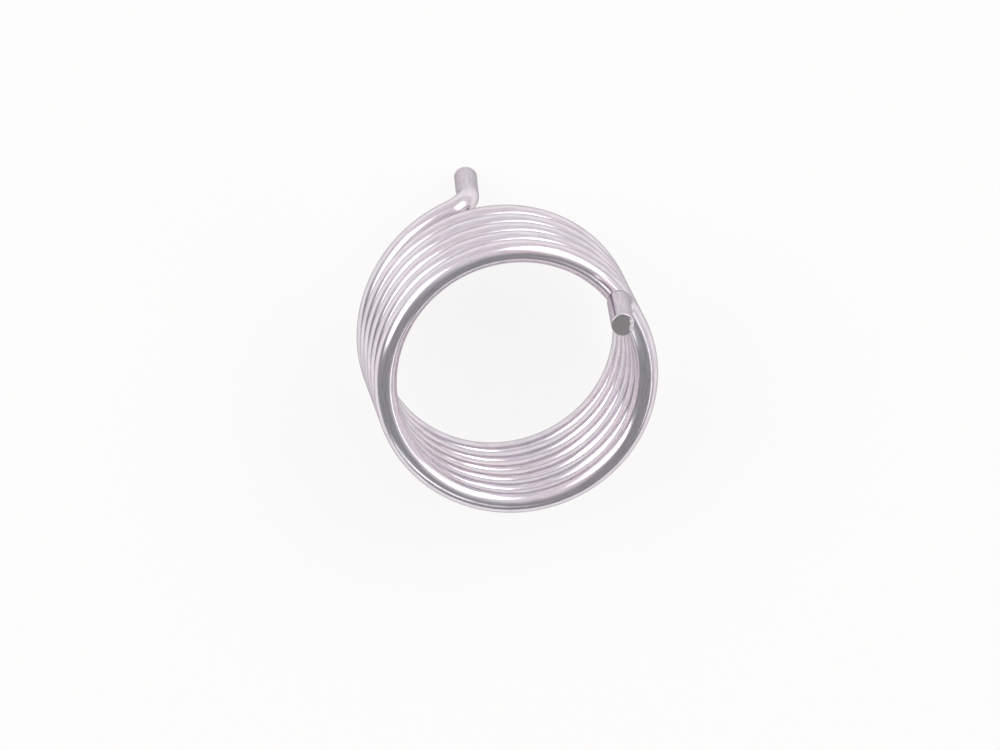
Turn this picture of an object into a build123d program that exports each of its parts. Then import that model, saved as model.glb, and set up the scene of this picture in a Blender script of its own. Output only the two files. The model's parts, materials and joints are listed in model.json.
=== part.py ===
from build123d import *
import math
import os

import numpy as np

# Torsion spring, wound from one length of round wire. All sizes in millimetres.
#
# The spring is first worked out in its winding frame: the coil axis is Z, the rear end of the coil lies at
# z = 0 and the wire climbs counter-clockwise (a right-hand coil). It is then leaned over as it comes to rest
# on a flat surface, standing on the tip of its rear leg and on the far side of the coil.

# ---- Driving dimensions ----
wire_diameter = 2.0
coil_mean_diameter = 22.5  # measured to the centre of the wire
turn_gap = 0.31  # clear space between one turn and the next
coil_turns = 5.7735  # from bend to bend
rear_end_angle = 113.0  # degrees about the coil axis, where the rear bend starts

opened_turn = 0.18  # the last part of a turn at the rear end, which springs outwards
opened_growth = 0.85  # how much larger its radius is

bend_inner_radius = 1.0  # of both legs' bends

front_leg_length = 5.0  # straight part
front_leg_short_of_square = 1.2  # degrees that the bend lacks of a right angle
front_leg_inward = 5.8  # degrees that the leg leans towards the coil axis

rear_leg_length = 4.7
rear_leg_short_of_square = 6.5
rear_leg_inward = 0.0

# ---- Values that follow from them ----
wire_radius = wire_diameter / 2
coil_radius = coil_mean_diameter / 2
coil_pitch = wire_diameter + turn_gap
bend_radius = wire_radius + bend_inner_radius  # to the centre of the wire
opened_radius = coil_radius + opened_growth
opened_pitch = coil_pitch * opened_radius / coil_radius  # the same slope as the rest of the coil
opened_angle = 360 * opened_turn
opened_height = opened_pitch * opened_turn
even_turns = coil_turns - opened_turn
even_height = coil_pitch * even_turns
joint_angle = rear_end_angle + opened_angle  # where the opened part meets the even coil
front_end_angle = rear_end_angle + 360 * coil_turns

axis_up = Vector(0, 0, 1)


def outward(angle: float) -> Vector:
    """The direction straight out from the coil axis at an angle about it."""
    return Vector(math.cos(math.radians(angle)), math.sin(math.radians(angle)), 0)


def wire_heading(angle: float) -> Vector:
    """The direction in which the climbing wire runs at an angle about the axis."""
    around = Vector(-math.sin(math.radians(angle)), math.cos(math.radians(angle)), 0)
    rise_per_radian = coil_pitch / (2 * math.pi)
    return (around * coil_radius + axis_up * rise_per_radian).normalized()


def leg_direction(along_axis: Vector, heading: Vector, out: Vector, short: float, inward: float) -> Vector:
    """A leg runs along the axis, less what its bend lacks of square and its lean towards the axis."""
    level_heading = Vector(heading.X, heading.Y, 0).normalized()
    lean_on = level_heading * math.tan(math.radians(short))
    lean_in = out * math.tan(math.radians(inward))
    return (along_axis + lean_on - lean_in).normalized()


def bend_and_leg(start: Vector, heading: Vector, direction: Vector, length: float) -> list[Edge]:
    """An arc that turns the wire from its heading to the leg's direction, and the straight leg after it."""
    turn = math.radians(heading.get_angle(direction))
    towards_centre = (direction - heading * math.cos(turn)).normalized()
    bend_end = (
        start + heading * (bend_radius * math.sin(turn)) + towards_centre * (bend_radius * (1 - math.cos(turn)))
    )
    bend = TangentArc(start, bend_end, tangent=heading)
    return [bend, Line(bend_end, bend_end + direction * length)]


def helix(radius: float, pitch: float, height: float, start_angle: float, foot: Vector) -> Edge:
    """A right-hand helix about a vertical axis through foot, starting at start_angle."""
    curve = Edge.make_helix(pitch, height, radius)
    return curve.rotate(Axis.Z, start_angle).translate(foot)


def wire_path() -> tuple[Wire, list[Edge]]:
    """The centre line of the wire from the rear tip to the front tip, and its two straight legs."""
    # The opened part turns about its own centre, shifted so that both helices run the same way at the joint.
    shift = outward(joint_angle) * -opened_growth
    opened = helix(opened_radius, opened_pitch, opened_height, rear_end_angle, shift)
    even = helix(coil_radius, coil_pitch, even_height, joint_angle, axis_up * opened_height)

    rear_heading = wire_heading(rear_end_angle) * -1
    rear_direction = leg_direction(
        axis_up * -1, rear_heading, outward(rear_end_angle), rear_leg_short_of_square, rear_leg_inward
    )
    rear = bend_and_leg(opened @ 0, rear_heading, rear_direction, rear_leg_length)

    front_heading = wire_heading(front_end_angle)
    front_direction = leg_direction(
        axis_up, front_heading, outward(front_end_angle), front_leg_short_of_square, front_leg_inward
    )
    front = bend_and_leg(even @ 1, front_heading, front_direction, front_leg_length)

    return Wire([rear[1], rear[0], opened, even, *front]), [rear[1], front[1]]


def resting_up(path: Wire) -> Vector:
    """The direction, in the winding frame, that points straight up when the spring has come to rest.

    The spring rests where the height of its centre of mass over the surface is least. Near the wanted rest
    that height is a bowl in the two tilts of the up direction, so one search runs inside another.
    """
    shares = np.linspace(0, 1, 2400)
    points = np.array([tuple(path.position_at(share)) for share in shares])
    runs = np.gradient(points, axis=0)
    runs /= np.linalg.norm(runs, axis=1)[:, None]
    centre = points.mean(axis=0)

    def centre_height(tilt_x: float, tilt_y: float) -> float:
        up = np.array([tilt_x, tilt_y, 1.0])
        up /= np.linalg.norm(up)
        # A round section reaches below its centre by its radius times how squarely the wire lies to up.
        reach = wire_radius * np.sqrt(1 - np.clip(runs @ up, -1, 1) ** 2)
        return float(centre @ up - (points @ up - reach).min())

    def lowest(height, middle: float, span: float) -> float:
        low, high = middle - span, middle + span
        while high - low > 1e-6:
            third = (high - low) / 3
            if height(low + third) < height(high - third):
                high -= third
            else:
                low += third
        return (low + high) / 2

    # First guess: the tip of the rear leg and the far side of the coil are level.
    rear_tip = points[points[:, 2].argmin()]
    tip_out = math.hypot(rear_tip[0], rear_tip[1])
    slope = (wire_radius - rear_tip[2]) / (tip_out + coil_radius)
    guess_x, guess_y = (slope * rear_tip[0] / tip_out, slope * rear_tip[1] / tip_out)
    span = 0.2

    def best_y(tilt_x: float) -> float:
        return lowest(lambda tilt_y: centre_height(tilt_x, tilt_y), guess_y, span)

    tilt_x = lowest(lambda value: centre_height(value, best_y(value)), guess_x, span)
    return Vector(tilt_x, best_y(tilt_x), 1).normalized()


def spring_wire() -> Solid:
    """The whole spring in its resting place: lowest point at z = 0, middle of its box over the origin."""
    path, legs = wire_path()
    section = Plane(origin=path @ 0, z_dir=path % 0) * Circle(wire_radius)
    wire = sweep(section, path=path)
    up = resting_up(path)
    resting_frame = Plane(origin=(0, 0, 0), x_dir=Vector(1, 0, 0) - up * up.X, z_dir=up)
    rested = resting_frame.to_local_coords(wire)
    box = rested.bounding_box()
    drop = Vector(-box.center().X, -box.center().Y, -box.min.Z)
    print("lean of the coil axis", round(up.get_angle(axis_up), 3), "degrees")
    print("wire length", round(path.length, 3))
    for name, leg in zip(("rear", "front"), legs):
        for end in (0, 1):
            place = resting_frame.to_local_coords(leg @ end) + drop
            print(name, "leg, end", end, [round(v, 4) for v in place])
    coil_top = axis_up * (opened_height + even_height)
    for name, place in (("rear", axis_up * 0), ("front", coil_top)):
        print(name, "end of the coil axis", [round(v, 4) for v in resting_frame.to_local_coords(place) + drop])
    return rested.moved(Location(drop)).solid()


os.makedirs("parts", exist_ok=True)
wire_solid = spring_wire()
wire_solid.label = "spring_wire"
section_area = math.pi * wire_radius**2
print("volume", round(wire_solid.volume, 3), "section times length", round(section_area * wire_path()[0].length, 3))
export_step(wire_solid, "parts/spring_wire.step")
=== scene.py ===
"""Looks of a wire torsion spring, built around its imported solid.

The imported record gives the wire's radius, the coil's axis and the place of both legs. The spring is first
worked out in its winding frame, with the coil axis up, and then carried into the place where it rests.
All lengths are in metres unless a name says otherwise.
"""

from __future__ import annotations

import json
import logging
import math
from dataclasses import dataclass, field
from enum import Enum

import bpy
import numpy as np
from mathutils import Euler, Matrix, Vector
from numpy.typing import NDArray


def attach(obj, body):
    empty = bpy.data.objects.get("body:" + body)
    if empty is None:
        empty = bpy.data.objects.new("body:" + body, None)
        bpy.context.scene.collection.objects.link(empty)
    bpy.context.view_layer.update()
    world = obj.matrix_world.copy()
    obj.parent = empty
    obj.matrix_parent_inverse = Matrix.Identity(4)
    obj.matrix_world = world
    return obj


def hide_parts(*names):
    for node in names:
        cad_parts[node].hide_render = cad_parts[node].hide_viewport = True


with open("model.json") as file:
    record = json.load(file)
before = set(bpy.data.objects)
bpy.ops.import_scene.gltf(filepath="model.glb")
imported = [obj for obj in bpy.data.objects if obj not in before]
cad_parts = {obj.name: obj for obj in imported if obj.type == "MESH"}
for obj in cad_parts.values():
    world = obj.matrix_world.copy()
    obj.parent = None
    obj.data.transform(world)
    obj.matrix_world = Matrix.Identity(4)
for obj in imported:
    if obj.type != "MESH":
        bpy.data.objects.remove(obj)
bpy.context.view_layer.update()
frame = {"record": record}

logging.basicConfig(level=logging.INFO, format="%(message)s")
log = logging.getLogger("torsion_spring")

Array = NDArray[np.float64]
MM = 0.001


class LegName(Enum):
    """The two legs of the spring, by the names of their mounts."""

    REAR = "rear_leg"
    FRONT = "front_leg"


class SurfaceKind(Enum):
    """Which finish a face of the wire has, as its material index."""

    DRAWN = 0
    SHEARED = 1


# ---- Small vector helpers ----


def unit(vectors: Array) -> Array:
    """Scales each row, or a single vector, to length one."""
    return vectors / np.linalg.norm(vectors, axis=-1, keepdims=True)


def square_to(vectors: Array, directions: Array) -> Array:
    """Removes from each vector its part along its direction and scales the rest to length one.

    Args:
        vectors: the vectors, one per row.
        directions: unit directions, one per row.

    Returns:
        Unit vectors at right angles to the directions.
    """
    along = np.sum(vectors * directions, axis=-1, keepdims=True)
    return unit(vectors - along * directions)


def outward(angles: Array) -> Array:
    """The level directions (cos a, sin a, 0) straight out from the coil axis."""
    return np.stack([np.cos(angles), np.sin(angles), np.zeros_like(angles)], axis=-1)


def around(angles: Array) -> Array:
    """The level directions (-sin a, cos a, 0) round the coil axis, counter-clockwise."""
    return np.stack([-np.sin(angles), np.cos(angles), np.zeros_like(angles)], axis=-1)


def smooth_step(values: Array) -> Array:
    """The curve 3t^2 - 2t^3 of values held between 0 and 1."""
    held = np.clip(values, 0.0, 1.0)
    return held * held * (3.0 - 2.0 * held)


def smooth_bump(values: Array) -> Array:
    """The bell curve exp(-t^2)."""
    return np.exp(-(values**2))


# ---- The line of the wire ----


@dataclass(frozen=True)
class Run:
    """A stretch of the wire's centre line.

    Attributes:
        points: places along it, one per row.
        headings: unit directions of the wire there.
        sides: unit directions square to the wire, from which angles round it are counted.
        bent: how far into a bend each place is, from 0 on straight or coiled wire to 1 at mid-bend.
    """

    points: Array
    headings: Array
    sides: Array
    bent: Array

    def reversed(self) -> Run:
        """The same stretch, run through the other way."""
        return Run(self.points[::-1], -self.headings[::-1], self.sides[::-1], self.bent[::-1])


def join_runs(runs: list[Run]) -> Run:
    """Puts runs end to end, leaving out each repeated meeting point."""
    tails = [runs[0]] + [Run(r.points[1:], r.headings[1:], r.sides[1:], r.bent[1:]) for r in runs[1:]]
    return Run(
        np.concatenate([r.points for r in tails]),
        np.concatenate([r.headings for r in tails]),
        np.concatenate([r.sides for r in tails]),
        np.concatenate([r.bent for r in tails]),
    )


@dataclass(frozen=True)
class SpringForm:
    """The spring's sizes, in its winding frame: coil axis up, rear end of the coil at height zero."""

    wire_radius: float
    rear_leg_length: float
    front_leg_length: float
    coil_radius: float = 11.25 * MM
    turn_gap: float = 0.31 * MM
    turns: float = 5.7735
    rear_end_angle: float = math.radians(113.0)
    opened_turn: float = 0.18
    opened_growth: float = 0.85 * MM
    bend_inner_radius: float = 1.0 * MM
    rear_short_of_square: float = math.radians(6.5)
    front_short_of_square: float = math.radians(1.2)
    front_inward: float = math.radians(5.8)
    coil_step: float = 0.40 * MM
    bend_step: float = 0.10 * MM
    leg_step: float = 0.20 * MM

    @property
    def pitch(self) -> float:
        """Rise of the wire for each turn."""
        return 2.0 * self.wire_radius + self.turn_gap

    @property
    def bend_radius(self) -> float:
        """Radius of both bends, to the centre of the wire."""
        return self.wire_radius + self.bend_inner_radius

    @property
    def opened_height(self) -> float:
        """Height of the last part of a turn, which is a little larger and keeps the same slope."""
        return self.pitch * self.opened_turn * (self.coil_radius + self.opened_growth) / self.coil_radius

    @property
    def coil_height(self) -> float:
        """Height of the coil, from one end of its centre line to the other."""
        return self.opened_height + self.pitch * (self.turns - self.opened_turn)

    def helix(self, radius: float, turns: float, start_angle: float, foot: Array) -> Run:
        """A climbing right-hand helix.

        Its point at angle a is foot + radius (cos a, sin a) + rise a, where the rise per radian keeps the
        slope of the even coil.

        Args:
            radius: of the wire's centre line.
            turns: how far it goes round.
            start_angle: where it starts, in radians.
            foot: the point on its axis at its start.

        Returns:
            The run from its foot upwards.
        """
        rise = self.pitch / (2.0 * math.pi) * radius / self.coil_radius
        sweep = 2.0 * math.pi * turns
        count = int(math.ceil(sweep * radius / self.coil_step)) + 1
        angles = start_angle + np.linspace(0.0, sweep, count)
        climbed = (angles - start_angle)[:, None] * np.array([0.0, 0.0, rise])
        points = foot + radius * outward(angles) + climbed
        headings = unit(radius * around(angles) + np.array([0.0, 0.0, rise]))
        return Run(points, headings, outward(angles), np.zeros(count))

    def bend_and_leg(self, start: Array, heading: Array, leg: Array, side: Array, length: float) -> Run:
        """The bend that turns the wire from its heading to the leg's direction, and the straight leg.

        The bend's point at angle a is start + R (sin a) heading + R (1 - cos a) towards its centre.

        Args:
            start: where the coil ends.
            heading: unit direction in which the wire leaves the coil.
            leg: unit direction of the leg.
            side: direction from which angles round the wire are counted.
            length: of the straight part.

        Returns:
            The run from the coil to the leg's tip.
        """
        turn = math.acos(float(heading @ leg))
        inside = unit(leg - heading * math.cos(turn))
        count = int(math.ceil(turn * self.bend_radius / self.bend_step)) + 1
        angles = np.linspace(0.0, turn, count)[:, None]
        points = start + self.bend_radius * (np.sin(angles) * heading + (1.0 - np.cos(angles)) * inside)
        headings = np.cos(angles) * heading + np.sin(angles) * inside
        bent = np.sin(math.pi * angles[:, 0] / turn)
        bend = Run(points, headings, square_to(np.tile(side, (count, 1)), headings), bent)
        places = np.linspace(0.0, length, int(math.ceil(length / self.leg_step)) + 1)[:, None]
        legs = np.tile(leg, (len(places), 1))
        leg_sides = square_to(np.tile(side, (len(places), 1)), legs)
        straight = Run(points[-1] + places * leg, legs, leg_sides, np.zeros(len(places)))
        return join_runs([bend, straight])

    def leg_direction(self, along: Array, heading: Array, out: Array, short: float, inward: float) -> Array:
        """A leg runs along the axis, less what its bend lacks of square and its lean towards the axis."""
        level = unit(heading * np.array([1.0, 1.0, 0.0]))
        return unit(along + math.tan(short) * level - math.tan(inward) * out)

    def centre_line(self) -> Run:
        """The whole wire, from the rear leg's tip up the coil to the front leg's tip."""
        joint = self.rear_end_angle + 2.0 * math.pi * self.opened_turn
        shift = -self.opened_growth * outward(np.array(joint))
        opened = self.helix(
            self.coil_radius + self.opened_growth, self.opened_turn, self.rear_end_angle, shift
        )
        foot = np.array([0.0, 0.0, self.opened_height])
        even = self.helix(self.coil_radius, self.turns - self.opened_turn, joint, foot)
        axis = np.array([0.0, 0.0, 1.0])
        rear_out, front_out = opened.sides[0], even.sides[-1]
        rear_heading, front_heading = -opened.headings[0], even.headings[-1]
        rear_leg = self.leg_direction(-axis, rear_heading, rear_out, self.rear_short_of_square, 0.0)
        front_leg = self.leg_direction(
            axis, front_heading, front_out, self.front_short_of_square, self.front_inward
        )
        rear = self.bend_and_leg(opened.points[0], rear_heading, rear_leg, rear_out, self.rear_leg_length)
        front = self.bend_and_leg(even.points[-1], front_heading, front_leg, front_out, self.front_leg_length)
        return join_runs([rear.reversed(), opened, even, front])


@dataclass(frozen=True)
class RestingFrame:
    """Where the winding frame lies once the spring is at rest."""

    origin: Array
    axes: Array

    @classmethod
    def from_record(cls, form: SpringForm, line: Run, mounts: dict[str, dict]) -> RestingFrame:
        """Finds the frame from the coil's axis and the middle of the rear leg.

        Args:
            form: the spring's sizes.
            line: its centre line in the winding frame.
            mounts: the record's mounts by name.

        Returns:
            The frame, with its axes as rows.
        """
        up = unit(np.array(mounts["coil_bore"]["axis"]))
        middle = np.array(mounts["coil_bore"]["pos_m"])
        leg_middle = line.points[0] + line.headings[0] * (0.5 * form.rear_leg_length)
        angle = math.atan2(leg_middle[1], leg_middle[0])
        leg_place = np.array(mounts[LegName.REAR.value]["pos_m"]) - middle
        towards_leg = square_to(leg_place, up)
        x_axis = math.cos(angle) * towards_leg - math.sin(angle) * np.cross(up, towards_leg)
        axes = np.stack([x_axis, np.cross(up, x_axis), up])
        return cls(middle - 0.5 * form.coil_height * up, axes)

    def place(self, run: Run) -> Run:
        """Carries a run from the winding frame to where the spring rests."""
        return Run(
            self.origin + run.points @ self.axes, run.headings @ self.axes, run.sides @ self.axes, run.bent
        )


# ---- The surface of the wire ----


@dataclass(frozen=True)
class CutEnd:
    """A sheared end of the wire: a nearly flat face with a rounded rim and a slanted, torn crescent.

    Attributes:
        torn_side: angle round the wire of the crescent's middle.
        torn_depth: how deep the crescent falls at the rim.
        torn_start: share of the radius at which the crescent starts, on its own side.
        slant: how far the face falls across the wire, towards the crescent.
        rim_radius: of the rounded edge.
        spread: how much wider the squeezed end is across the cut.
        seed: of the face's grain.
    """

    torn_side: float
    torn_depth: float = 0.24 * MM
    torn_start: float = 0.60
    slant: float = 0.05 * MM
    rim_radius: float = 0.07 * MM
    spread: float = 0.02
    seed: int = 3
    rim_steps: int = 5
    face_steps: int = 22

    def profile(self, radius: float) -> tuple[Array, Array]:
        """The plain end's half section: a quarter circle at the rim, then straight in to the middle.

        Args:
            radius: of the wire.

        Returns:
            Each ring's share of the radius, and how far back from the tip it lies.
        """
        turn = np.linspace(0.0, 0.5 * math.pi, self.rim_steps + 1)
        rim_share = 1.0 - self.rim_radius / radius * (1.0 - np.cos(turn))
        rim_back = self.rim_radius * (1.0 - np.sin(turn))
        face_share = np.linspace(rim_share[-1], 0.0, self.face_steps + 1)[1:]
        return np.concatenate([rim_share, face_share]), np.concatenate([rim_back, np.zeros(self.face_steps)])

    def drop(self, shares: Array, angles: Array) -> tuple[Array, Array]:
        """How far the real face falls below the plain one, and where it is torn.

        With q the distance across the wire towards the torn side as a share of its radius, the face falls
        by slant (1 + q) / 2, and past a ragged line q = start by depth (q - start) / (1 - start).

        Args:
            shares: each ring's share of the radius, as a column.
            angles: angles round the wire, as a row.

        Returns:
            The fall in metres and the torn share from 0 to 1, both one value for each ring and angle.
        """
        across = shares * np.cos(angles - self.torn_side)
        along = shares * np.sin(angles - self.torn_side)
        phases = np.random.default_rng(self.seed).uniform(0.0, 2.0 * math.pi, 4)
        ragged = (
            0.050 * np.sin(9.0 * along + phases[0])
            + 0.035 * np.sin(23.0 * along + phases[1])
            + 0.020 * np.sin(41.0 * along + phases[2])
        )
        past = (across - self.torn_start - ragged) / (1.0 - self.torn_start)
        torn = smooth_step(past * 6.0)
        fall = self.slant * 0.5 * (1.0 + across) + self.torn_depth * np.clip(past, 0.0, None)
        grain = 0.004 * MM * np.sin(31.0 * across + 17.0 * along + phases[3]) * shares
        return fall + grain, torn


@dataclass(frozen=True)
class PressMark:
    """A shallow flat that a forming tool left: where along the wire, at which angle, and how large."""

    station: float
    angle: float
    depth: float
    length: float
    width: float


@dataclass
class WireSurface:
    """The skin of the whole wire as one closed grid of rings.

    Attributes:
        line: the wire's centre line where it rests.
        radius: of the wire.
        start_end: the cut at the start of the line.
        finish_end: the cut at its far end.
        marks: flats left by tools.
        round_count: vertices in each ring.
        bend_squash: share of the radius by which the section flattens at mid-bend.
        swell: share of the radius by which the drawn wire swells and thins along its length.
        swell_length: length of wire for one radian of that swelling.
        swell_twist_length: length of wire in which the swelling moves one radian round it.
        spread_length: how far from a tip its squeezed shape reaches.
        end_blend: length over which the wall's rings slide to meet a slanted rim.
    """

    line: Run
    radius: float
    start_end: CutEnd
    finish_end: CutEnd
    marks: list[PressMark] = field(default_factory=list)
    round_count: int = 60
    bend_squash: float = 0.025
    swell: float = 0.0008
    swell_length: float = 9.0 * MM
    swell_twist_length: float = 31.0 * MM
    spread_length: float = 0.5 * MM
    end_blend: float = 1.5 * MM

    def stations(self) -> Array:
        """Distance along the wire of each place on its centre line."""
        steps = np.linalg.norm(np.diff(self.line.points, axis=0), axis=1)
        return np.concatenate([[0.0], np.cumsum(steps)])

    def wall_radius(self, stations: Array, angles: Array) -> Array:
        """Radius of the wall for each ring and angle.

        The round section is squashed by a few hundredths in the bends, swells by under a thousandth along
        the coil, widens at the squeezed ends, and sinks as a bell curve under each tool mark.
        """
        side, along = angles[None, :], stations[:, None]
        squash = self.bend_squash * self.line.bent[:, None] * np.cos(2.0 * side)
        swell = self.swell * np.sin(along / self.swell_length) * np.cos(side + along / self.swell_twist_length)
        length = stations[-1]
        near_start = smooth_bump(along / self.spread_length) * self.start_end.spread
        near_finish = smooth_bump((length - along) / self.spread_length) * self.finish_end.spread
        spread = -near_start * np.cos(2.0 * (side - self.start_end.torn_side))
        spread = spread - near_finish * np.cos(2.0 * (side - self.finish_end.torn_side))
        radius = self.radius * (1.0 + squash + swell + spread)
        for mark in self.marks:
            turned = np.angle(np.exp(1j * (side - mark.angle)))
            dent = smooth_bump((along - mark.station) / mark.length) * smooth_bump(turned / mark.width)
            radius = radius - mark.depth * dent
        return radius

    def wall_slide(self, stations: Array, rim_depths: tuple[Array, Array]) -> Array:
        """How far the wall's vertices slide along the wire, so that the wall ends where each rim starts.

        The slide is the rim's depth at the tip and falls off as a straight line over the blend length.

        Args:
            stations: distance of each ring along the wire.
            rim_depths: depth of the start's and the finish's rim below their tips, for each angle.

        Returns:
            One slide for each ring and angle, positive towards the finish.
        """
        from_start = np.clip(1.0 - stations / self.end_blend, 0.0, None)[:, None]
        from_finish = np.clip(1.0 - (self.stations()[-1] - stations) / self.end_blend, 0.0, None)[:, None]
        return from_start * rim_depths[0] - from_finish * rim_depths[1]

    def end_rings(
        self, end: CutEnd, place: int, outwards: float, wall: Array
    ) -> tuple[Array, Array, Array, Array]:
        """The rings that close one end, from the rim to the middle of the face.

        Args:
            end: the cut.
            place: index of the end on the centre line.
            outwards: 1.0 where the heading points out of the wire, -1.0 where it points in.
            wall: radius of the last ring of the wall, one value for each angle.

        Returns:
            Vertices, pattern coordinates and torn shares, as ring by angle grids, and the rim's depth.
        """
        angles = self.angles()
        shares, back = end.profile(self.radius)
        fall, torn = end.drop(shares[:, None], angles[None, :])
        heading = self.line.headings[place] * outwards
        reach = shares[:, None] * wall[None, :]
        depth = back[:, None] + fall
        vertices = self.line.points[place] + reach[..., None] * self.spokes(place) - depth[..., None] * heading
        pattern = self.pattern(reach, np.full_like(reach, self.stations()[place]), angles)
        return vertices, pattern, torn, depth[0]

    def angles(self) -> Array:
        """Angles round the wire, evenly spaced and without the repeated last one."""
        return np.linspace(0.0, 2.0 * math.pi, self.round_count, endpoint=False)

    def spokes(self, places: int | slice) -> Array:
        """Unit directions from the centre line to the wall: cos a times the side plus sin a across it."""
        side, heading = self.line.sides[places], self.line.headings[places]
        cross = np.cross(heading, side)
        angles = self.angles()[:, None]
        return np.cos(angles) * side[..., None, :] + np.sin(angles) * cross[..., None, :]

    @staticmethod
    def pattern(reach: Array, along: Array, angles: Array) -> Array:
        """Seamless coordinates for the finish, in millimetres: two across the wire, then along it."""
        return np.stack([reach * np.cos(angles), reach * np.sin(angles), along], axis=-1) / MM

    def build(self, name: str) -> bpy.types.Object:
        """Makes the closed mesh, with its pattern coordinates, torn shares and face finishes.

        Args:
            name: of the object.

        Returns:
            The object, at the origin.
        """
        angles, stations = self.angles(), self.stations()
        radii = self.wall_radius(stations, angles)
        start = self.end_rings(self.start_end, 0, -1.0, radii[0])
        finish = self.end_rings(self.finish_end, -1, 1.0, radii[-1])
        inner = slice(1, -1)
        slide = self.wall_slide(stations[inner], (start[3], finish[3]))
        wall = self.line.points[inner, None, :] + radii[inner, :, None] * self.spokes(inner)
        wall = wall + slide[..., None] * self.line.headings[inner, None, :]
        wall_pattern = self.pattern(radii[inner], stations[inner, None] + slide, angles)
        grid = np.concatenate([start[0][::-1], wall, finish[0]])
        pattern = np.concatenate([start[1][::-1], wall_pattern, finish[1]])
        torn = np.concatenate([start[2][::-1], np.zeros(wall.shape[:2]), finish[2]])
        start_rings, finish_rings = len(start[0]), len(finish[0])
        rows = len(grid)
        kind = np.full(rows - 1, SurfaceKind.DRAWN.value)
        kind[: start_rings - 1 - self.start_end.rim_steps] = SurfaceKind.SHEARED.value
        kind[rows - finish_rings + self.finish_end.rim_steps :] = SurfaceKind.SHEARED.value
        return closed_tube(name, grid, pattern, torn, kind)


def closed_tube(name: str, grid: Array, pattern: Array, torn: Array, kind: NDArray[np.int64]) -> bpy.types.Object:
    """Makes a mesh from rings of vertices whose first and last rings have shrunk to a point.

    Between rings i and i + 1, and angles j and j + 1, lies the face (i, j), (i, j + 1), (i + 1, j + 1),
    (i + 1, j). Next to a point it is a triangle.

    Args:
        name: of the object.
        grid: vertices, ring by angle by 3.
        pattern: finish coordinates, the same shape.
        torn: torn share of each vertex.
        kind: material index of each band between two rings.

    Returns:
        The object, linked to the scene.
    """
    rows, count = grid.shape[:2]
    ring_ids = 1 + np.arange((rows - 2) * count).reshape(rows - 2, count)
    last = 1 + ring_ids.size
    here, beyond = ring_ids[:-1], ring_ids[1:]
    quads = np.stack(
        [here, np.roll(here, -1, 1), np.roll(beyond, -1, 1), beyond], axis=-1
    ).reshape(-1, 4)
    first_ring, final_ring = ring_ids[0], ring_ids[-1]
    start_fan = np.stack([np.zeros(count, int), np.roll(first_ring, -1), first_ring], axis=-1)
    finish_fan = np.stack([final_ring, np.roll(final_ring, -1), np.full(count, last)], axis=-1)

    def flat(values: Array) -> Array:
        return np.concatenate([values[0, :1], values[1:-1].reshape(-1, *values.shape[2:]), values[-1, :1]])

    mesh = bpy.data.meshes.new(name)
    loops = np.concatenate([start_fan.ravel(), quads.ravel(), finish_fan.ravel()]).astype(np.int32)
    sizes = np.concatenate([np.full(count, 3), np.full(len(quads), 4), np.full(count, 3)])
    starts = np.concatenate([[0], np.cumsum(sizes)[:-1]]).astype(np.int32)
    mesh.vertices.add(last + 1)
    mesh.vertices.foreach_set("co", flat(grid).astype(np.float32).ravel())
    mesh.loops.add(len(loops))
    mesh.loops.foreach_set("vertex_index", loops)
    mesh.polygons.add(len(sizes))
    mesh.polygons.foreach_set("loop_start", starts)
    material_ids = np.concatenate([[kind[0]] * count, np.repeat(kind[1:-1], count), [kind[-1]] * count])
    mesh.polygons.foreach_set("material_index", material_ids.astype(np.int32))
    mesh.update(calc_edges=True)
    mesh.attributes.new("wire_pattern", "FLOAT_VECTOR", "POINT").data.foreach_set(
        "vector", flat(pattern).astype(np.float32).ravel()
    )
    mesh.attributes.new("torn", "FLOAT", "POINT").data.foreach_set("value", flat(torn).astype(np.float32).ravel())
    mesh.shade_smooth()
    mesh.validate()
    made = bpy.data.objects.new(name, mesh)
    bpy.context.scene.collection.objects.link(made)
    return made


# ---- Finishes ----


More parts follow.
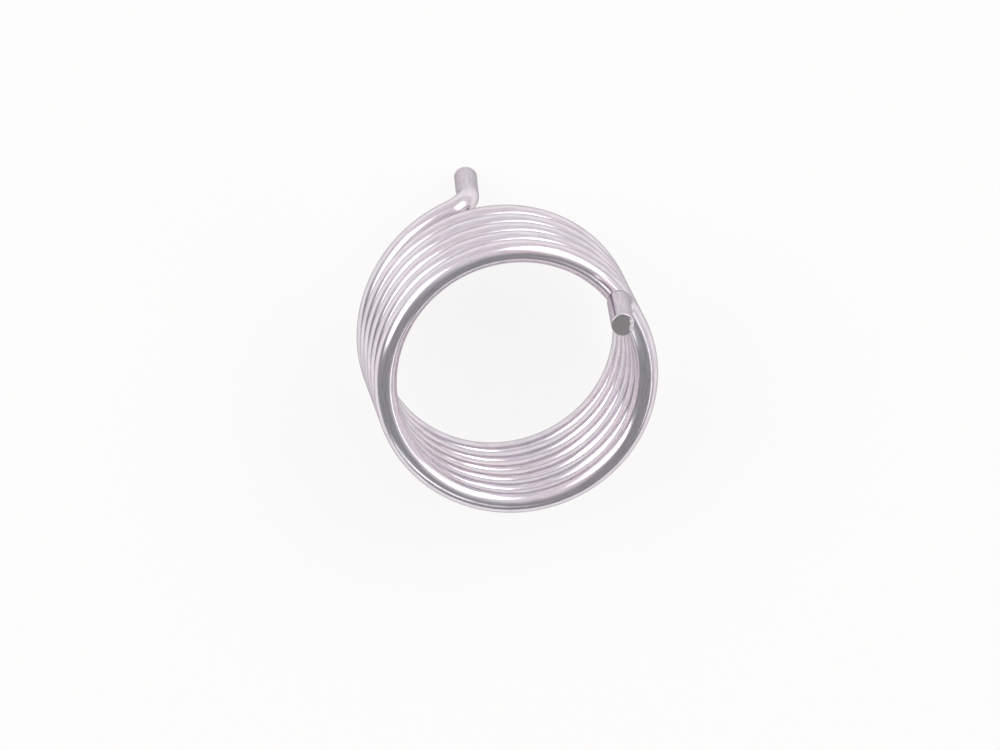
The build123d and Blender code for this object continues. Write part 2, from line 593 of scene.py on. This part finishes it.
@dataclass
class NodeBoard:
    """A short way to lay out a material's or the world's nodes."""

    tree: bpy.types.NodeTree

    def add(self, kind: str, label: str, **settings: object) -> bpy.types.Node:
        """Adds a node and sets its own settings, not its sockets."""
        node = self.tree.nodes.new(kind)
        node.label = label
        for name, value in settings.items():
            setattr(node, name, value)
        return node

    def join(self, source: bpy.types.NodeSocket, target: bpy.types.NodeSocket) -> None:
        """Links one socket to another."""
        self.tree.links.new(source, target)

    def scaled(self, source: bpy.types.NodeSocket, scale: tuple[float, float, float]) -> bpy.types.NodeSocket:
        """The coordinates in a socket, scaled along each axis."""
        node = self.add("ShaderNodeMapping", "scale of the pattern")
        node.inputs["Scale"].default_value = scale
        self.join(source, node.inputs["Vector"])
        return node.outputs["Vector"]

    def noise(self, source: bpy.types.NodeSocket, scale: float, detail: float) -> bpy.types.NodeSocket:
        """Fractal noise on some coordinates, from 0 to 1."""
        node = self.add("ShaderNodeTexNoise", "noise")
        node.inputs["Scale"].default_value = scale
        node.inputs["Detail"].default_value = detail
        self.join(source, node.inputs["Vector"])
        return node.outputs["Fac"]

    def spread(
        self, source: bpy.types.NodeSocket, span: tuple[float, float], result: tuple[float, float]
    ) -> bpy.types.NodeSocket:
        """Carries the values of a span onto another, held at both ends."""
        node = self.add("ShaderNodeMapRange", "range")
        node.inputs["From Min"].default_value, node.inputs["From Max"].default_value = span
        node.inputs["To Min"].default_value, node.inputs["To Max"].default_value = result
        self.join(source, node.inputs["Value"])
        return node.outputs["Result"]

    def math(
        self, operation: str, first: bpy.types.NodeSocket, second: bpy.types.NodeSocket | float
    ) -> bpy.types.NodeSocket:
        """One sum on two values."""
        node = self.add("ShaderNodeMath", operation.lower(), operation=operation)
        self.join(first, node.inputs[0])
        if isinstance(second, float):
            node.inputs[1].default_value = second
        else:
            self.join(second, node.inputs[1])
        return node.outputs["Value"]

    def blend(
        self,
        share: bpy.types.NodeSocket,
        first: tuple[float, float, float] | bpy.types.NodeSocket,
        second: tuple[float, float, float] | bpy.types.NodeSocket,
    ) -> bpy.types.NodeSocket:
        """A colour between two, by a share from 0 to 1."""
        node = self.add("ShaderNodeMix", "colours", data_type="RGBA")
        self.join(share, node.inputs["Factor"])
        for value, socket in ((first, node.inputs[6]), (second, node.inputs[7])):
            if isinstance(value, tuple):
                socket.default_value = (*value, 1.0)
            else:
                self.join(value, socket)
        return node.outputs[2]


def new_material(name: str) -> tuple[bpy.types.Material, NodeBoard, bpy.types.Node]:
    """Makes a material with an empty board but for its shader and output."""
    material = bpy.data.materials.new(name)
    material.use_nodes = True
    board = NodeBoard(material.node_tree)
    board.tree.nodes.clear()
    shader = board.add("ShaderNodeBsdfPrincipled", "surface")
    output = board.add("ShaderNodeOutputMaterial", "output")
    board.join(shader.outputs["BSDF"], output.inputs["Surface"])
    return material, board, shader


@dataclass(frozen=True)
class PlatedWire:
    """Bright plated spring wire: a faintly pink and lilac film over metal with fine drawing lines, and painted
    shade on its grazing edges.
    """

    pink: tuple[float, float, float] = (0.885, 0.80, 0.843)
    lilac: tuple[float, float, float] = (0.838, 0.803, 0.862)
    smoothest: float = 0.13
    roughest: float = 0.24
    worn: tuple[float, float, float] = (0.45, 0.43, 0.45)
    worn_share: float = 0.34
    # Painted shade: a dark grey edge colour that darkens the metal at grazing angles, standing in for the dark
    # outlines and the shade between turns.
    painted_edge_shade_tint: tuple[float, float, float] = (0.50, 0.48, 0.50)
    film_scale_mm: float = 0.55
    film_stretch: float = 0.25
    broad_line_share: float = 0.3
    line_height: float = 0.0036 * MM
    lines_across_mm: float = 8.0
    line_stretch: float = 0.09

    def make(self) -> bpy.types.Material:
        """Builds the material on the wire's own pattern coordinates, in millimetres."""
        material, board, shader = new_material("plated_wire")
        place = board.add("ShaderNodeAttribute", "wire pattern", attribute_name="wire_pattern").outputs["Vector"]
        lengthwise = board.scaled(place, (1.0, 1.0, self.line_stretch))
        lines = board.noise(lengthwise, self.lines_across_mm, 3.0)
        broad_lines = board.noise(lengthwise, self.lines_across_mm * self.broad_line_share, 2.0)
        film = board.noise(board.scaled(place, (1.0, 1.0, self.film_stretch)), self.film_scale_mm, 2.0)
        tint = board.blend(board.spread(film, (0.35, 0.65), (0.0, 1.0)), self.pink, self.lilac)
        worn = board.spread(lines, (0.36, 0.56), (self.worn_share, 0.0))
        board.join(board.blend(worn, tint, self.worn), shader.inputs["Base Color"])
        both = board.math("ADD", board.math("MULTIPLY", lines, 0.5), board.math("MULTIPLY", broad_lines, 0.5))
        board.join(
            board.spread(both, (0.35, 0.65), (self.roughest, self.smoothest)), shader.inputs["Roughness"]
        )
        bump = board.add("ShaderNodeBump", "drawing lines")
        bump.inputs["Strength"].default_value = 1.0
        bump.inputs["Distance"].default_value = self.line_height
        board.join(both, bump.inputs["Height"])
        board.join(bump.outputs["Normal"], shader.inputs["Normal"])
        shader.inputs["Metallic"].default_value = 1.0
        # The dark edge colour paints shade on the wire's outlines and between its turns.
        shader.inputs["Specular Tint"].default_value = (*self.painted_edge_shade_tint, 1.0)
        return material


@dataclass(frozen=True)
class ShearedSteel:
    """Bare steel at a cut end: dull and grainy, with a brighter torn crescent."""

    dull: tuple[float, float, float] = (0.56, 0.53, 0.54)
    grain: tuple[float, float, float] = (0.42, 0.40, 0.41)
    torn: tuple[float, float, float] = (0.92, 0.90, 0.91)
    grains_across_mm: float = 7.0
    grain_height: float = 0.006 * MM
    torn_shine: float = 0.20

    def make(self) -> bpy.types.Material:
        """Builds the material on the wire's pattern coordinates and the torn share of each vertex."""
        material, board, shader = new_material("sheared_steel")
        place = board.add("ShaderNodeAttribute", "wire pattern", attribute_name="wire_pattern").outputs["Vector"]
        torn = board.add("ShaderNodeAttribute", "torn share", attribute_name="torn").outputs["Fac"]
        grain = board.noise(place, self.grains_across_mm, 4.0)
        face = board.blend(board.spread(grain, (0.35, 0.65), (0.0, 1.0)), self.dull, self.grain)
        board.join(board.blend(torn, face, self.torn), shader.inputs["Base Color"])
        rough = board.spread(grain, (0.3, 0.7), (0.36, 0.48))
        shine = board.math("MULTIPLY", torn, self.torn_shine)
        board.join(board.math("SUBTRACT", rough, shine), shader.inputs["Roughness"])
        bump = board.add("ShaderNodeBump", "grain")
        bump.inputs["Strength"].default_value = 1.0
        bump.inputs["Distance"].default_value = self.grain_height
        board.join(grain, bump.inputs["Height"])
        board.join(bump.outputs["Normal"], shader.inputs["Normal"])
        shader.inputs["Metallic"].default_value = 1.0
        return material


# ---- The spring ----


@dataclass
class TorsionSpring:
    """The one piece of the object: its wire, from tip to tip."""

    form: SpringForm
    line: Run

    @classmethod
    def from_record(cls, record: dict) -> TorsionSpring:
        """Reads the sizes that the record's mounts state, and finds where the spring rests."""
        mounts = {mount["name"]: mount for mount in record["mounts"]}
        rear, front = mounts[LegName.REAR.value]["dims"], mounts[LegName.FRONT.value]["dims"]
        form = SpringForm(rear["r_mm"] * MM, rear["length_mm"] * MM, front["length_mm"] * MM)
        line = form.centre_line()
        return cls(form, RestingFrame.from_record(form, line, mounts).place(line))

    def tool_marks(self, length: float) -> list[PressMark]:
        """Two flats beside each bend, where the bending pin and its block gripped the wire."""
        bend = self.form.bend_radius * 0.5 * math.pi
        rear, front = self.form.rear_leg_length, length - self.form.front_leg_length
        return [
            PressMark(rear - 0.9 * MM, 1.4, 0.035 * MM, 0.55 * MM, 0.45),
            PressMark(rear + bend + 0.7 * MM, -1.9, 0.030 * MM, 0.60 * MM, 0.50),
            PressMark(front + 0.9 * MM, 3.3, 0.035 * MM, 0.55 * MM, 0.45),
            PressMark(front - bend - 0.8 * MM, 1.8, 0.030 * MM, 0.60 * MM, 0.50),
        ]

    def build(self) -> bpy.types.Object:
        """Makes and dresses the wire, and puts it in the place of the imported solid."""
        rear_cut = CutEnd(torn_side=2.4, seed=5)
        front_cut = CutEnd(torn_side=-0.6)
        surface = WireSurface(self.line, self.form.wire_radius, rear_cut, front_cut)
        surface.marks = self.tool_marks(float(surface.stations()[-1]))
        wire = surface.build("spring_wire_skin")
        wire.data.materials.append(PlatedWire().make())
        wire.data.materials.append(ShearedSteel().make())
        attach(wire, "root")
        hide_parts("spring_wire")
        log.info("spring wire: %d faces, %.1f mm long", len(wire.data.polygons), surface.stations()[-1] / MM)
        return wire


# ---- Studio ----


def world_direction(azimuth: float, zenith: float) -> Vector:
    """The direction at an azimuth from +X towards +Y and a tilt from straight up, both in degrees."""
    a, z = math.radians(azimuth), math.radians(zenith)
    return Vector((math.sin(z) * math.cos(a), math.sin(z) * math.sin(a), math.cos(z)))


@dataclass(frozen=True)
class SoftLight:
    """A rectangular soft light that faces the spring.

    Attributes:
        name: of the lamp.
        azimuth: of its direction from the spring, in degrees from +X towards +Y.
        zenith: of its direction, in degrees from straight up.
        turn: of its long side about its direction, in degrees.
        width: of its long side.
        height: of its short side.
        glow: how bright it looks, where 1 is white.
        distance: from the spring.
    """

    name: str
    azimuth: float
    zenith: float
    turn: float
    width: float
    height: float
    glow: float
    distance: float = 0.6

    def build(self) -> bpy.types.Object:
        """Makes the lamp. Its power is its glow times pi times its area."""
        lamp = bpy.data.lights.new(self.name, "AREA")
        lamp.shape = "RECTANGLE"
        lamp.size = self.width
        lamp.size_y = self.height
        lamp.energy = self.glow * math.pi * self.width * self.height
        direction = world_direction(self.azimuth, self.zenith)
        made = bpy.data.objects.new(self.name, lamp)
        facing = direction.to_track_quat("Z", "Y").to_matrix()
        turned = Euler((0.0, 0.0, math.radians(self.turn))).to_matrix()
        made.rotation_euler = (facing @ turned).to_euler()
        made.location = direction * self.distance
        bpy.context.scene.collection.objects.link(made)
        log.info("light: %s", self.name)
        return made


@dataclass(frozen=True)
class Studio:
    """A white floor under a pale sky that is darker on the viewer's side, and soft lights.

    Attributes:
        floor_half: half the side of the floor.
        floor_colour: of its shaded part.
        white: of its plain part.
        white_share: how much of the floor is plain white to the camera and to metal.
        left_weight: how far the sky's grey side is turned from -Y towards -X.
        pale_sky: colour of most of the sky.
        dark_sky: colour of its grey side.
        lights: the soft lights.
    """

    floor_half: float = 3.0
    floor_colour: tuple[float, float, float] = (0.95, 0.94, 0.93)
    white: tuple[float, float, float] = (1.0, 0.995, 0.99)
    white_share: float = 0.85
    left_weight: float = 0.42
    pale_sky: tuple[float, float, float] = (0.765, 0.73, 0.76)
    dark_sky: tuple[float, float, float] = (0.29, 0.298, 0.302)
    lights: tuple[SoftLight, ...] = (
        SoftLight("left_softbox", 163.0, 42.0, 0.0, 0.46, 0.36, 1.9),
        SoftLight("right_softbox", 35.0, 42.0, 0.0, 0.46, 0.36, 1.9),
        SoftLight("right_strip", -25.0, 52.0, 38.0, 0.62, 0.065, 1.5),
        SoftLight("left_strip", -108.0, 62.0, 32.0, 0.56, 0.075, 1.4),
    )

    def floor(self) -> bpy.types.Object:
        """A flat square whose white shows through its shading, so that it keeps a faint shadow."""
        mesh = bpy.data.meshes.new("floor")
        h = self.floor_half
        mesh.from_pydata([(-h, -h, 0), (h, -h, 0), (h, h, 0), (-h, h, 0)], [], [(0, 1, 2, 3)])
        material = bpy.data.materials.new("white_floor")
        material.use_nodes = True
        board = NodeBoard(material.node_tree)
        board.tree.nodes.clear()
        shaded = board.add("ShaderNodeBsdfDiffuse", "shaded paper")
        shaded.inputs["Color"].default_value = (*self.floor_colour, 1.0)
        plain = board.add("ShaderNodeEmission", "plain white")
        plain.inputs["Color"].default_value = (*self.white, 1.0)
        mixed = board.add("ShaderNodeMixShader", "paper")
        output = board.add("ShaderNodeOutputMaterial", "output")
        board.join(self.seen(board, self.white_share), mixed.inputs["Fac"])
        board.join(shaded.outputs["BSDF"], mixed.inputs[1])
        board.join(plain.outputs["Emission"], mixed.inputs[2])
        board.join(mixed.outputs["Shader"], output.inputs["Surface"])
        mesh.materials.append(material)
        made = bpy.data.objects.new("floor", mesh)
        bpy.context.scene.collection.objects.link(made)
        return made

    @staticmethod
    def seen(board: NodeBoard, share: float) -> bpy.types.NodeSocket:
        """The share for rays from the camera, a mirror or through glass, and 0 for all others."""
        path = board.add("ShaderNodeLightPath", "which ray")
        rays = board.math("MAXIMUM", path.outputs["Is Camera Ray"], path.outputs["Is Glossy Ray"])
        rays = board.math("MAXIMUM", rays, path.outputs["Is Transmission Ray"])
        return board.math("MULTIPLY", rays, share)

    def sky(self) -> None:
        """Fills the world, grey towards -Y and -X, and pale elsewhere."""
        world = bpy.data.worlds.new("studio")
        bpy.context.scene.world = world
        world.use_nodes = True
        board = NodeBoard(world.node_tree)
        board.tree.nodes.clear()
        direction = board.add("ShaderNodeTexCoord", "direction").outputs["Generated"]
        parts = board.add("ShaderNodeSeparateXYZ", "parts of the direction")
        board.join(direction, parts.inputs["Vector"])
        ahead = board.math("ADD", parts.outputs["Y"], board.math("MULTIPLY", parts.outputs["X"], self.left_weight))
        behind = board.spread(ahead, (-0.40, 0.10), (0.0, 1.0))
        glow = board.add("ShaderNodeBackground", "sky")
        output = board.add("ShaderNodeOutputWorld", "output")
        board.join(board.blend(behind, self.dark_sky, self.pale_sky), glow.inputs["Color"])
        board.join(glow.outputs["Background"], output.inputs["Surface"])

    def build(self) -> None:
        """Lays the floor, fills the sky and hangs the lights."""
        self.floor()
        self.sky()
        for light in self.lights:
            light.build()


@dataclass(frozen=True)
class Viewpoint:
    """A long lens nearly straight above the spring."""

    location: tuple[float, float, float] = (-26.60 * MM, 40.76 * MM, 527.40 * MM)
    turn_degrees: tuple[float, float, float] = (-4.705, -3.066, -2.290)
    lens_mm: float = 216.0

    def build(self) -> bpy.types.Object:
        """Makes the camera and gives it to the scene."""
        data = bpy.data.cameras.new("camera")
        data.lens = self.lens_mm
        data.clip_start, data.clip_end = 0.01, 10.0
        made = bpy.data.objects.new("camera", data)
        made.location = self.location
        made.rotation_euler = tuple(math.radians(angle) for angle in self.turn_degrees)
        bpy.context.scene.collection.objects.link(made)
        bpy.context.scene.camera = made
        return made


def main() -> None:
    """Builds the spring and its studio."""
    bpy.context.scene.view_settings.view_transform = "Standard"
    TorsionSpring.from_record(frame["record"]).build()
    Studio().build()
    Viewpoint().build()


if __name__ == "__main__":
    main()
